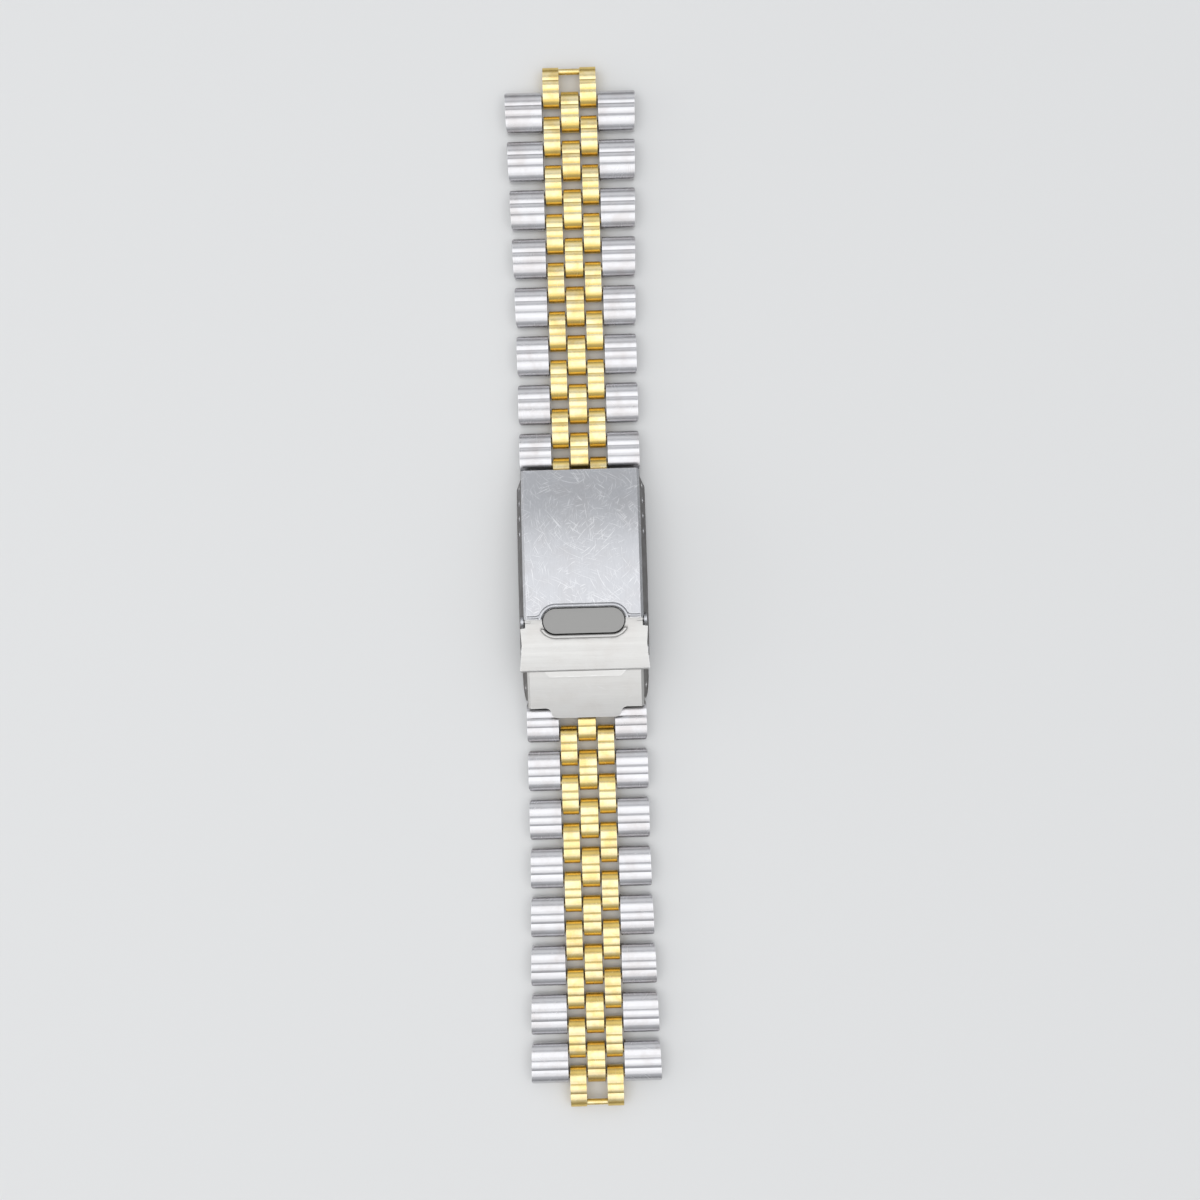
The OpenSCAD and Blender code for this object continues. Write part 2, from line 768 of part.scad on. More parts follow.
// Tube of the spring bar, with the spring inside it drawn as a sleeve
module spring_bar() {
    color(dark_steel)
        on_arc(bar_s, bar_r) {
            across(2 * barrel_half)
                difference() {
                    circle(d = barrel_d);
                    circle(d = barrel_bore);
                }
            across(2 * spring_half)
                difference() {
                    circle(d = shoulder_d);
                    circle(d = shoulder_d / 2);
                }
        }
}

module spring_bar_tip(side) {
    color(dark_steel)
        on_arc(bar_s, bar_r) {
            translate([side * (shoulder_out - shoulder_length / 2), 0, 0])
                across(shoulder_length)
                    circle(d = shoulder_d);
            translate([side * (shoulder_out + bar_wall) / 2, 0, 0])
                across(bar_wall - shoulder_out + 2 * eps)
                    circle(d = tip_d);
        }
}

for (i = row_list) {
    outer_links(UPPER, i);
    centre_link(UPPER, i);
    outer_links(LOWER, i);
    centre_link(LOWER, i);
}
for (i = inner_list) {
    inner_links(UPPER, i);
    inner_links(LOWER, i);
}
clasp_cover();
safety_catch();
cover_pins();
folding_blade();
base_blade();
end_cap();
blade_pin();
spring_bar();
spring_bar_tip(-1);  // spring_bar_tip_left
spring_bar_tip(1);  // spring_bar_tip_right
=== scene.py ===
"""Looks of a two-tone watch bracelet that lies closed on a pale floor: metals, wear, dirt, light and camera."""

import json
import logging
import math
from dataclasses import dataclass
from enum import Enum

import bpy
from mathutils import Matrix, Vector

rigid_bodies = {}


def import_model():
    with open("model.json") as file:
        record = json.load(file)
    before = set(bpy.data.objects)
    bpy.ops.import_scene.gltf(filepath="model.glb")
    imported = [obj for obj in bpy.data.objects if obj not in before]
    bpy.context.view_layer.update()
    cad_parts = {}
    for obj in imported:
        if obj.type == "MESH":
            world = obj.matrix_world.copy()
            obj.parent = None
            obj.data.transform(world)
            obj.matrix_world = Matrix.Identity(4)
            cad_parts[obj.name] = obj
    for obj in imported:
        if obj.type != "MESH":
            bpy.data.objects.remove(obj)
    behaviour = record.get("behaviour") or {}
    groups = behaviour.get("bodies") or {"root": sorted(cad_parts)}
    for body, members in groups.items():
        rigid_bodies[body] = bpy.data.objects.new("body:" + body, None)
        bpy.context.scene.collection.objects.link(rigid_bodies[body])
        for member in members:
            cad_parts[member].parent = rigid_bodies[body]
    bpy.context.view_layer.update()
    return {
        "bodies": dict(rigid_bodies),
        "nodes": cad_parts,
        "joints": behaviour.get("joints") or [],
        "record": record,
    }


Socket = bpy.types.NodeSocket
Colour = tuple[float, float, float]
Place = tuple[float, float, float]
Span = tuple[float, float]
MM = 0.001
log = logging.getLogger("bracelet")


class Way(Enum):
    """The direction in which the lines of a finish run over a piece, as a noise's scale on x, y and z."""

    ACROSS = (60.0, 2600.0, 2600.0)
    ALONG = (2600.0, 60.0, 2600.0)


class Tree:
    """Short calls that build one node tree, of a material or of a shared effect."""

    def __init__(self, tree: bpy.types.NodeTree) -> None:
        """Keeps the node tree that the calls add to."""
        self.tree = tree

    def put(self, kind: str, inputs: dict | None = None, **settings: object) -> bpy.types.Node:
        """Adds a node.

        Args:
            kind: The node's type, without its ShaderNode prefix.
            inputs: Values or sockets for the node's inputs, by name or number.
            settings: Properties of the node.

        Returns:
            The node.
        """
        node = self.tree.nodes.new("ShaderNode" + kind)
        for name, value in settings.items():
            setattr(node, name, value)
        for name, value in (inputs or {}).items():
            self.feed(node.inputs[name], value)
        return node

    def feed(self, socket: Socket, value: object) -> None:
        """Links a socket to an input, or sets the input's own value.

        Args:
            socket: The input.
            value: A socket, a number, a vector or a colour.
        """
        if isinstance(value, bpy.types.NodeSocket):
            self.tree.links.new(value, socket)
        elif socket.type == "RGBA":
            socket.default_value = (*value, 1.0)
        else:
            socket.default_value = value

    def sums(self, operation: str, first: object, second: object = 0.0, clamp: bool = False) -> Socket:
        """Works on two numbers.

        Args:
            operation: The operation's name.
            first: The first number or socket.
            second: The second number or socket.
            clamp: Whether the result is kept from 0 to 1.

        Returns:
            The result.
        """
        return self.put("Math", {0: first, 1: second}, operation=operation, use_clamp=clamp).outputs[0]

    def vectors(self, operation: str, first: object, second: object) -> Socket:
        """Works on two vectors, with a vector as the result.

        Args:
            operation: The operation's name.
            first: The first vector or socket.
            second: The second vector or socket.

        Returns:
            The resulting vector.
        """
        return self.put("VectorMath", {0: first, 1: second}, operation=operation).outputs["Vector"]

    def measure(self, operation: str, first: object, second: object = (0.0, 0.0, 0.0)) -> Socket:
        """Works on two vectors, with a number as the result.

        Args:
            operation: The operation's name.
            first: The first vector or socket.
            second: The second vector or socket.

        Returns:
            The resulting number.
        """
        return self.put("VectorMath", {0: first, 1: second}, operation=operation).outputs["Value"]

    def ramp(self, value: Socket, reads: tuple, gives: tuple = (0.0, 1.0)) -> Socket:
        """Spreads a value from one range to another, smoothly.

        Args:
            value: The value.
            reads: The start and the end of its range.
            gives: The results at the start and at the end.

        Returns:
            The result.
        """
        node = self.put("MapRange", {"Value": value, "From Min": reads[0], "From Max": reads[1],
                                     "To Min": gives[0], "To Max": gives[1]}, interpolation_type="SMOOTHSTEP")
        return node.outputs["Result"]

    def noise(self, vector: Socket, scale: object, detail: float = 2.0, rough: float = 0.5) -> Socket:
        """Reads a noise texture.

        Args:
            vector: Where it is read.
            scale: Its scale, per metre.
            detail: Its detail.
            rough: How strong the fine detail is.

        Returns:
            The noise, from 0 to 1.
        """
        node = self.put("TexNoise", {"Vector": vector, "Scale": scale, "Detail": detail, "Roughness": rough})
        return node.outputs["Fac"]

    def blend(self, share: object, under: object, over: object, mode: str = "MIX") -> Socket:
        """Blends two colours.

        Args:
            share: How much of the upper colour shows.
            under: The lower colour.
            over: The upper colour.
            mode: The way of blending.

        Returns:
            The blended colour.
        """
        node = self.put("Mix", {0: share, 6: under, 7: over}, data_type="RGBA", blend_type=mode)
        return node.outputs[2]

    def join(self, x: object = 0.0, y: object = 0.0, z: object = 0.0) -> Socket:
        """Joins three numbers to a vector."""
        return self.put("CombineXYZ", {0: x, 1: y, 2: z}).outputs[0]

    def split(self, vector: Socket) -> object:
        """Splits a vector into its three numbers."""
        return self.put("SeparateXYZ", {0: vector}).outputs

    def place(self) -> Socket:
        """Gives the place on the piece, in the piece's own metres."""
        return self.put("TexCoord").outputs["Object"]

    def facing(self) -> Socket:
        """Gives the direction in which the piece's surface faces, by the piece's own axes."""
        return self.put("TexCoord").outputs["Normal"]


@dataclass(frozen=True)
class Patches:
    """Uneven patches over a surface: a noise, and how its values are spread.

    Attributes:
        scale: The noise's scale, per metre.
        detail: The noise's detail.
        reads: The noise's values at which the patches start and are full.
        gives: The results at those two values.
        grain: How strong the noise's fine detail is.
    """

    scale: float
    detail: float
    reads: Span
    gives: Span = (0.0, 1.0)
    grain: float = 0.5

    def read(self, desk: Tree, at: Socket | None = None, scale: Socket | None = None,
             strength: float = 1.0) -> Socket:
        """Reads the patches.

        Args:
            desk: The tree that reads them.
            at: Where they are read, in place of the place on the piece.
            scale: The scale, in place of their own.
            strength: What their results are multiplied with.

        Returns:
            The result.
        """
        place = desk.place() if at is None else at
        cloud = desk.noise(place, self.scale if scale is None else scale, self.detail, self.grain)
        return desk.ramp(cloud, self.reads, (self.gives[0] * strength, self.gives[1] * strength))


class Effect:
    """A shared effect: a node group that is built once and placed in each material with its own values."""

    name = "effect"
    takes: dict[str, float] = {}
    gives: tuple[str, ...] = ("Mask",)

    def __init__(self) -> None:
        """Makes the group and its sockets, and builds what is in it."""
        self.group = bpy.data.node_groups.new(self.name, "ShaderNodeTree")
        for socket, value in self.takes.items():
            made = self.group.interface.new_socket(socket, in_out="INPUT", socket_type="NodeSocketFloat")
            made.default_value = value
        for socket in self.gives:
            self.group.interface.new_socket(socket, in_out="OUTPUT", socket_type="NodeSocketFloat")
        desk = Tree(self.group)
        self.build(desk, desk.tree.nodes.new("NodeGroupInput").outputs, desk.tree.nodes.new("NodeGroupOutput").inputs)

    def build(self, desk: Tree, takes: object, gives: object) -> None:
        """Builds the effect's nodes.

        Args:
            desk: The group's tree.
            takes: The group's inputs.
            gives: The group's outputs.
        """
        raise NotImplementedError

    def use(self, desk: Tree, **values: object) -> object:
        """Places the group in a material.

        Args:
            desk: The material's tree.
            values: The inputs, by name with _ for a space.

        Returns:
            The group's results.
        """
        node = desk.put("Group", node_tree=self.group)
        for socket, value in values.items():
            desk.feed(node.inputs[socket.replace("_", " ")], value)
        return node.outputs


class EdgeWearAndShine(Effect):
    """Where rubbing has brightened the edges, with a painted shine on them: uneven, and only near an edge."""

    name = "edge wear and painted shine"
    takes = {"Radius": 0.0002, "Breakup": 900.0}
    samples = 6
    turn: Span = (0.01, 0.18)
    patches = Patches(900.0, 3.0, (0.35, 0.6), (0.25, 1.0))

    def build(self, desk: Tree, takes: object, gives: object) -> None:
        """Compares the surface with its rounded self, and breaks the result up with noise.

        Args:
            desk: The group's tree.
            takes: The group's inputs.
            gives: The group's outputs.
        """
        rounded = desk.put("Bevel", {"Radius": takes["Radius"]}, samples=self.samples).outputs["Normal"]
        plain = desk.put("NewGeometry").outputs["Normal"]
        turned = desk.sums("SUBTRACT", 1.0, desk.measure("DOT_PRODUCT", rounded, plain))
        edge = desk.ramp(turned, self.turn)
        patch = self.patches.read(desk, scale=takes["Breakup"])
        desk.feed(gives["Mask"], desk.sums("MULTIPLY", edge, patch, clamp=True))


class GrimeAndShade(Effect):
    """Soiling and painted shade that darken the corners and gaps, thicker in some places than in others."""

    name = "grime and painted shade in corners"
    takes = {"Reach": 0.001, "Patches": 700.0, "Amount": 1.0}
    samples = 8
    closeness: Span = (0.25, 0.85)
    patches = Patches(700.0, 4.0, (0.3, 0.65), (0.3, 1.0), 0.6)

    def build(self, desk: Tree, takes: object, gives: object) -> None:
        """Finds how closed in a place is, where soiling and painted shade darken it, and breaks the result up with
        noise.

        Args:
            desk: The group's tree.
            takes: The group's inputs.
            gives: The group's outputs.
        """
        # Painted shade as well as soiling: the more closed in a place is, the darker it is made.
        open_air = desk.put("AmbientOcclusion", {"Distance": takes["Reach"]}, samples=self.samples).outputs["AO"]
        closed = desk.ramp(desk.sums("SUBTRACT", 1.0, open_air), self.closeness)
        patch = self.patches.read(desk, scale=takes["Patches"])
        mask = desk.sums("MULTIPLY", desk.sums("MULTIPLY", closed, patch), takes["Amount"], clamp=True)
        desk.feed(gives["Mask"], mask)


class Lines(Effect):
    """Fine parallel lines that rolling, drawing or brushing has left in the metal."""

    name = "drawn lines"
    takes = {"Scale X": 60.0, "Scale Y": 2600.0, "Scale Z": 2600.0}
    gives = ("Fine", "Broad")
    fine = {"scale": 4.0, "detail": 4.0, "rough": 0.7}
    broad = {"scale": 0.55, "detail": 2.0, "rough": 0.5}

    def build(self, desk: Tree, takes: object, gives: object) -> None:
        """Stretches two noises along the lines' direction.

        Args:
            desk: The group's tree.
            takes: The group's inputs.
            gives: The group's outputs.
        """
        scale = desk.join(takes["Scale X"], takes["Scale Y"], takes["Scale Z"])
        drawn = desk.vectors("MULTIPLY", desk.place(), scale)
        desk.feed(gives["Fine"], desk.noise(drawn, **self.fine))
        desk.feed(gives["Broad"], desk.noise(drawn, **self.broad))


class Scratches(Effect):
    """Thin, slightly bowed scratches in several directions, in denser and barer patches, as wear leaves them.

    Attributes:
        angles: The directions of the scratches, in radians.
        shift: How far each direction's scratches are shifted from the last, so that none repeat.
        bow_scale: The scale of the noise that bows them, per metre.
        bow: How far that noise bows them, in metres.
        along: The scale along the first direction's scratches, per metre.
        along_step: How much that scale grows from one direction to the next.
        across: The scale across the scratches, per metre.
        crowd: The barer and denser patches, as what they add to the start of a scratch.
        detail: The detail of the scratches' noise.
        rarest: The noise's value at which a scratch starts where Density is 0.
        thicken: How much lower it starts where Density is 1.
        fade: How far above its start a scratch is full.
    """

    name = "scratches"
    takes = {"Fineness": 1.0, "Density": 0.5}
    angles = (0.35, 0.8, 1.3, 1.75, 2.3, 2.75)
    shift: Place = (0.013, 0.007, 0.005)
    bow_scale = 130.0
    bow = 3.2 * MM
    along = 250.0
    along_step = 50.0
    across = 7000.0
    crowd = Patches(210.0, 1.0, (0.35, 0.65), (0.07, -0.02))
    detail = 0.6
    rarest = 0.8
    thicken = 0.12
    fade = 0.06

    def build(self, desk: Tree, takes: object, gives: object) -> None:
        """Takes each direction's strokes in turn, and keeps the strongest at each place.

        Args:
            desk: The group's tree.
            takes: The group's inputs.
            gives: The group's outputs.
        """
        place = desk.place()
        mask: object = 0.0
        for number, angle in enumerate(self.angles):
            mask = desk.sums("MAXIMUM", mask, self.strokes(desk, takes, place, number, angle))
        desk.feed(gives["Mask"], mask)

    def strokes(self, desk: Tree, takes: object, place: Socket, number: int, angle: float) -> Socket:
        """Keeps the peaks of a noise that is stretched along a turned and bowed direction.

        Args:
            desk: The group's tree.
            takes: The group's inputs.
            place: The place on the piece.
            number: Which direction this is, from 0.
            angle: How far it is turned.

        Returns:
            The strokes, 1 in a scratch and 0 beside it.
        """
        turned = desk.put("VectorRotate", {"Vector": place, "Angle": angle}, rotation_type="Z_AXIS").outputs[0]
        moved = desk.vectors("ADD", turned, (self.shift[0] * number, self.shift[1], self.shift[2] * number))
        bow = desk.sums("MULTIPLY", desk.sums("SUBTRACT", desk.noise(moved, self.bow_scale, 0.0), 0.5), self.bow)
        bowed = desk.vectors("ADD", moved, desk.join(0.0, bow))
        shape = (self.along + self.along_step * number, self.across, self.along)
        stretched = desk.vectors("MULTIPLY", bowed, shape)
        scaled = desk.put("VectorMath", {0: stretched, "Scale": takes["Fineness"]}, operation="SCALE").outputs[0]
        start = desk.sums("SUBTRACT", self.rarest, desk.sums("MULTIPLY", takes["Density"], self.thicken))
        start = desk.sums("ADD", start, self.crowd.read(desk, at=moved))
        stroke = desk.noise(scaled, 1.0, self.detail)
        return desk.ramp(stroke, (start, desk.sums("ADD", start, self.fade)))


@dataclass
class Kit:
    """The effects that all finishes share."""

    edges: EdgeWearAndShine
    grime_and_shade: GrimeAndShade
    lines: Lines
    scratches: Scratches


@dataclass(frozen=True)
class Plate:
    """The matte oval plate between the cover and the catch: where it lies on the cover, and its finish.

    Attributes:
        middle: Its middle along the bracelet, in metres.
        run: Half the length of its straight run across the bracelet, in metres.
        half_width: Half its width, which is also the radius of its round ends, in metres.
        colour: Its colour.
        rough: Its roughness.
    """

    middle: float = -5.09 * MM
    run: float = 4.2 * MM
    half_width: float = 1.92 * MM
    colour: Colour = (0.3, 0.296, 0.288)
    rough: float = 0.5

    def mask(self, desk: Tree) -> Socket:
        """Gives the plate's oval, as what lies within its half width of its straight run.

        Args:
            desk: The material's tree.

        Returns:
            The oval, 1 on the plate and 0 beside it.
        """
        place = desk.split(desk.place())
        past = desk.sums("MAXIMUM", desk.sums("SUBTRACT", desk.sums("ABSOLUTE", place[0]), self.run), 0.0)
        along = desk.sums("SUBTRACT", place[1], self.middle)
        return desk.sums("LESS_THAN", desk.measure("LENGTH", desk.join(past, along)), self.half_width)


# Colours of soiling, also used as painted shade in the corners and on the side walls.
STEEL_GRIME_AND_SHADE: Colour = (0.05, 0.042, 0.036)
GOLD_GRIME_AND_SHADE: Colour = (0.07, 0.03, 0.01)
PIN_STEEL: Colour = (0.5, 0.5, 0.5)
SCRATCHED: Colour = (0.85, 0.85, 0.86)
TARNISH: Colour = (0.62, 0.5, 0.42)
STAINS = Patches(260.0, 4.0, (0.4, 0.72), grain=0.6)
SPECKS = Patches(5200.0, 1.0, (0.74, 0.78))
# Patches of the painted shade on the side walls.
SIDE_SHADE_PATCHES = Patches(380.0, 3.0, (0.25, 0.7), (0.8, 1.0), 0.6)
# Patches of the wear and painted highlight on the crowns.
CROWN_WEAR_AND_HIGHLIGHT_PATCHES = Patches(420.0, 3.0, (0.3, 0.62), (0.35, 1.0), 0.6)
FINE_LINES: Span = (0.3, 0.7)
BROAD_LINES: Span = (0.25, 0.75)
UP: Place = (0.0, 0.0, 1.0)


@dataclass(frozen=True)
class Metal:
    """One finish: the metal's colour, its lines, its scratches, how worn and dirty it is, and the highlights and
    shade painted on it.

    Attributes:
        name: The material's name.
        colour: The metal's colour.
        worn: Its colour where it is rubbed, which also paints the highlights on its crowns and edges.
        way: The direction of its lines.
        rough: Its roughness.
        grime_and_shade: The colour of its soiling and of the shade painted in its corners and on its side walls.
        grime_and_shade_amount: How much soiling and painted shade there is in its corners.
        line_height: How high the lines stand, as a share of the relief.
        line_shade: How much darker the lines' hollows are.
        scratch: How dense the scratches are.
        scratch_height: How deep the scratches are, as a share of the relief.
        scratch_shade: How much of the scratches' colour shows.
        scratch_rough: How much rougher a scratch is.
        fineness: How fine the scratches are.
        streak: How much the roughness varies along the lines.
        edge_wear_and_shine: How much of the worn colour the edges have, as wear and painted shine.
        crown_wear_and_highlight: How much of the worn colour the faces that look up have, as wear and painted
            highlight.
        crown_wear_and_highlight_slope: How far a face looks up where that wear and painted highlight start and are
            full.
        side_shade: How much painted shade dulls and darkens the side walls.
        side_shade_slope: How far a face looks sideways where that painted shade starts and is full.
        tarnish: How strong the tarnish's stains are.
        specks: How strong the small dark specks are.
        dirt_and_shade_rough: How much rougher the soiled and painted-shade places are.
        plate: The matte plate on it, if there is one.
        pin_from: How far out from the middle line the steel ends of the pins start, in metres, or 0 without them.
        relief: The strength of the relief of lines and scratches.
        relief_depth: The depth of that relief, in metres.
    """

    name: str
    colour: Colour
    worn: Colour
    way: Way
    rough: float
    grime_and_shade: Colour = STEEL_GRIME_AND_SHADE
    grime_and_shade_amount: float = 0.8
    line_height: float = 0.3
    line_shade: float = 0.1
    scratch: float = 0.5
    scratch_height: float = 0.5
    scratch_shade: float = 0.35
    scratch_rough: float = 0.12
    fineness: float = 1.0
    streak: float = 0.2
    edge_wear_and_shine: float = 0.8
    crown_wear_and_highlight: float = 0.0
    crown_wear_and_highlight_slope: Span = (0.86, 0.99)
    side_shade: float = 0.0
    side_shade_slope: Span = (0.8, 0.96)
    tarnish: float = 0.1
    specks: float = 0.0
    dirt_and_shade_rough: float = 0.35
    plate: Plate | None = None
    pin_from: float = 0.0
    relief: float = 0.35
    relief_depth: float = 0.004 * MM

    def make(self, kit: Kit) -> bpy.types.Material:
        """Builds the material.

        Args:
            kit: The shared effects.

        Returns:
            The material.
        """
        material = bpy.data.materials.new(self.name)
        material.use_nodes = True
        desk = Tree(material.node_tree)
        shader = material.node_tree.nodes["Principled BSDF"].inputs
        scale = self.way.value
        lines = kit.lines.use(desk, Scale_X=scale[0], Scale_Y=scale[1], Scale_Z=scale[2])
        scratches = kit.scratches.use(desk, Fineness=self.fineness, Density=self.scratch)[0]
        dirt_and_shade = self.dirt_and_shade(desk, kit)
        clean = self.clean(desk, kit, lines["Fine"], scratches)
        # Painted shade and soiling: the colour turns dark and less metallic where they lie.
        desk.feed(shader["Base Color"], desk.blend(dirt_and_shade, clean, self.grime_and_shade))
        desk.feed(shader["Metallic"], desk.sums("SUBTRACT", 1.0, dirt_and_shade, clamp=True))
        desk.feed(shader["Roughness"], self.roughness(desk, lines["Broad"], scratches, dirt_and_shade))
        height = desk.sums("MULTIPLY", lines["Fine"], self.line_height)
        height = desk.sums("SUBTRACT", height, desk.sums("MULTIPLY", scratches, self.scratch_height))
        bump = desk.put("Bump", {"Height": height, "Strength": self.relief, "Distance": self.relief_depth})
        desk.feed(shader["Normal"], bump.outputs["Normal"])
        return material

    def clean(self, desk: Tree, kit: Kit, lines: Socket, scratches: Socket) -> Socket:
        """Colours the metal itself: rubbed crowns and edges with painted highlights on them, tarnish, lines,
        scratches, pin ends and the plate.

        Args:
            desk: The material's tree.
            kit: The shared effects.
            lines: The fine lines.
            scratches: The scratches.

        Returns:
            The colour without soiling and painted shade.
        """
        colour = desk.blend(self.crown_wear_and_highlight_share(desk), self.colour, self.worn)
        colour = desk.blend(STAINS.read(desk, strength=self.tarnish), colour, TARNISH, "MULTIPLY")
        shade = desk.ramp(lines, FINE_LINES, (1.0 - self.line_shade, 1.0))
        grey = desk.put("CombineColor", {0: shade, 1: shade, 2: shade}).outputs[0]
        colour = desk.blend(1.0, colour, grey, "MULTIPLY")
        # Wear and painted shine: edges are brightened towards the worn colour.
        colour = desk.blend(desk.sums("MULTIPLY", kit.edges.use(desk)[0], self.edge_wear_and_shine), colour, self.worn)
        colour = desk.blend(desk.sums("MULTIPLY", scratches, self.scratch_shade), colour, SCRATCHED)
        if self.pin_from:
            out = desk.sums("ABSOLUTE", desk.split(desk.place())[0])
            colour = desk.blend(desk.sums("GREATER_THAN", out, self.pin_from), colour, PIN_STEEL)
        if self.plate:
            colour = desk.blend(self.plate.mask(desk), colour, self.plate.colour)
        return colour

    def dirt_and_shade(self, desk: Tree, kit: Kit) -> Socket:
        """Gathers the soiling and painted shade of the corners, the specks, and the painted shade of the dull side
        walls.

        Args:
            desk: The material's tree.
            kit: The shared effects.

        Returns:
            The share of the dark colour of soiling and painted shade.
        """
        grime_and_shade = kit.grime_and_shade.use(desk, Amount=self.grime_and_shade_amount)[0]
        dirt_and_shade = desk.sums("MAXIMUM", grime_and_shade, SPECKS.read(desk, strength=self.specks))
        return desk.sums("MAXIMUM", dirt_and_shade, self.painted_side_shade(desk)) if self.side_shade else dirt_and_shade

    def roughness(self, desk: Tree, lines: Socket, scratches: Socket, dirt_and_shade: Socket) -> Socket:
        """Makes the surface rougher in streaks, in scratches, and where soiling and painted shade lie.

        Args:
            desk: The material's tree.
            lines: The broad lines.
            scratches: The scratches.
            dirt_and_shade: The share of soiling and painted shade.

        Returns:
            The roughness.
        """
        rough = desk.ramp(lines, BROAD_LINES, (self.rough * (1 - self.streak), self.rough * (1 + self.streak)))
        rough = desk.sums("ADD", rough, desk.sums("MULTIPLY", scratches, self.scratch_rough))
        rough = desk.sums("ADD", rough, desk.sums("MULTIPLY", dirt_and_shade, self.dirt_and_shade_rough), clamp=True)
        if self.plate:
            rough = desk.ramp(self.plate.mask(desk), (0.0, 1.0), (rough, self.plate.rough))
        return rough

    def painted_side_shade(self, desk: Tree) -> Socket:
        """Gives the painted shade on the side walls, dull and dark in uneven patches along them.

        Args:
            desk: The material's tree.

        Returns:
            The share of the dark colour that paints the shade.
        """
        # Painted shade: faces that look sideways are darkened and dulled.
        across = desk.ramp(desk.sums("ABSOLUTE", desk.split(desk.facing())[0]), self.side_shade_slope)
        return desk.sums("MULTIPLY", desk.sums("MULTIPLY", across, SIDE_SHADE_PATCHES.read(desk)), self.side_shade)

    def crown_wear_and_highlight_share(self, desk: Tree) -> object:
        """Gives how much the outermost, flattest faces are rubbed pale and painted with a highlight, by how far they
        look up.

        Args:
            desk: The material's tree.

        Returns:
            The share of the worn colour.
        """
        if self.crown_wear_and_highlight == 0:
            return 0.0
        # Wear and painted highlight: faces that look up are made paler.
        flat = desk.ramp(desk.measure("DOT_PRODUCT", desk.facing(), UP), self.crown_wear_and_highlight_slope)
        return desk.sums("MULTIPLY", desk.sums("MULTIPLY", flat, CROWN_WEAR_AND_HIGHLIGHT_PATCHES.read(desk)), self.crown_wear_and_highlight)


FINISHES: dict[str, Metal] = {
    "steel_links": Metal(
        "polished link steel", (0.63, 0.625, 0.64), (0.76, 0.76, 0.77), Way.ACROSS, 0.26, line_height=0.05,
        line_shade=0.04, scratch=0.35, scratch_shade=0.2, streak=0.05, tarnish=0.25),
    "gold_links": Metal(
        "worn gold plating", (0.85, 0.63, 0.2), (0.9, 0.82, 0.55), Way.ACROSS, 0.26, GOLD_GRIME_AND_SHADE, 1.0,
        line_height=0.07, line_shade=0.05, scratch=0.3, scratch_shade=0.2, streak=0.06, crown_wear_and_highlight=0.75,
        tarnish=0.35, specks=0.6, pin_from=4.6 * MM),
    "clasp_steel": Metal(
        "scratched clasp steel", (0.5, 0.505, 0.525), (0.85, 0.85, 0.86), Way.ALONG, 0.34, scratch=1.0,
        scratch_height=0.9, scratch_shade=0.5, streak=0.06, side_shade=0.9, fineness=1.25, plate=Plate()),
    "satin_steel": Metal(
        "satin catch steel", (0.6, 0.592, 0.575), (0.85, 0.85, 0.84), Way.ACROSS, 0.42, line_shade=0.06,
        scratch=0.3, scratch_shade=0.3, streak=0.08, side_shade=0.9, fineness=1.3),
    "blade_steel": Metal(
        "satin blade steel", (0.52, 0.52, 0.53), (0.75, 0.75, 0.75), Way.ALONG, 0.3, line_height=0.5,
        scratch=0.4),
    "pin_steel": Metal(
        "turned pin steel", PIN_STEEL, (0.7, 0.7, 0.7), Way.ALONG, 0.26, line_height=0.4, scratch=0.2),
}


@dataclass
class Creases:
    """The step that joins a mesh's faces and shades it smoothly, apart from its sharp edges.

    Attributes:
        sharp: The angle from which an edge is sharp.
        reach: How near two points lie that are joined, in metres.
    """

    sharp: float = math.radians(32)
    reach: float = 1e-7

    def build(self) -> bpy.types.NodeTree:
        """Builds the step as a geometry node group.

        Returns:
            The group.
        """
        group = bpy.data.node_groups.new("shade by angle", "GeometryNodeTree")
        group.interface.new_socket("Mesh", in_out="INPUT", socket_type="NodeSocketGeometry")
        group.interface.new_socket("Mesh", in_out="OUTPUT", socket_type="NodeSocketGeometry")
        mesh = group.nodes.new("NodeGroupInput").outputs[0]
        stored = group.nodes.new("GeometryNodeRemoveAttribute")
        stored.inputs["Name"].default_value = "custom_normal"
        joined = group.nodes.new("GeometryNodeMergeByDistance")
        joined.inputs["Distance"].default_value = self.reach
        faces = group.nodes.new("GeometryNodeSetShadeSmooth")
        faces.domain = "FACE"
        edges = group.nodes.new("GeometryNodeSetShadeSmooth")
        edges.domain = "EDGE"
        for step in (stored, joined, faces, edges):
            group.links.new(mesh, step.inputs["Geometry"])
            mesh = step.outputs[0]
        group.links.new(mesh, group.nodes.new("NodeGroupOutput").inputs[0])
        angle = group.nodes.new("GeometryNodeInputMeshEdgeAngle").outputs["Unsigned Angle"]
        below = group.nodes.new("FunctionNodeCompare")
        below.operation = "LESS_THAN"
        below.inputs["B"].default_value = self.sharp
        group.links.new(angle, below.inputs["A"])
        group.links.new(below.outputs[0], edges.inputs["Shade Smooth"])
        return group


@dataclass
class Wardrobe:
    """What every piece is dressed from: the finishes by slot, each piece's slot and the step for its creases."""

    finishes: dict[str, bpy.types.Material]
    slots: dict[str, str]
    creases: bpy.types.NodeTree
    sharp: float

    @classmethod
    def fill(cls, frame: dict) -> "Wardrobe":
        """Makes all finishes.


        Returns:
            The wardrobe.
        """
        kit = Kit(EdgeWearAndShine(), GrimeAndShade(), Lines(), Scratches())
        creases = Creases()
        return cls(
            finishes={slot: finish.make(kit) for slot, finish in FINISHES.items()},
            slots={part["node"]: part["material_slot"] for part in frame["record"]["subparts"]},
            creases=creases.build(),
            sharp=creases.sharp)


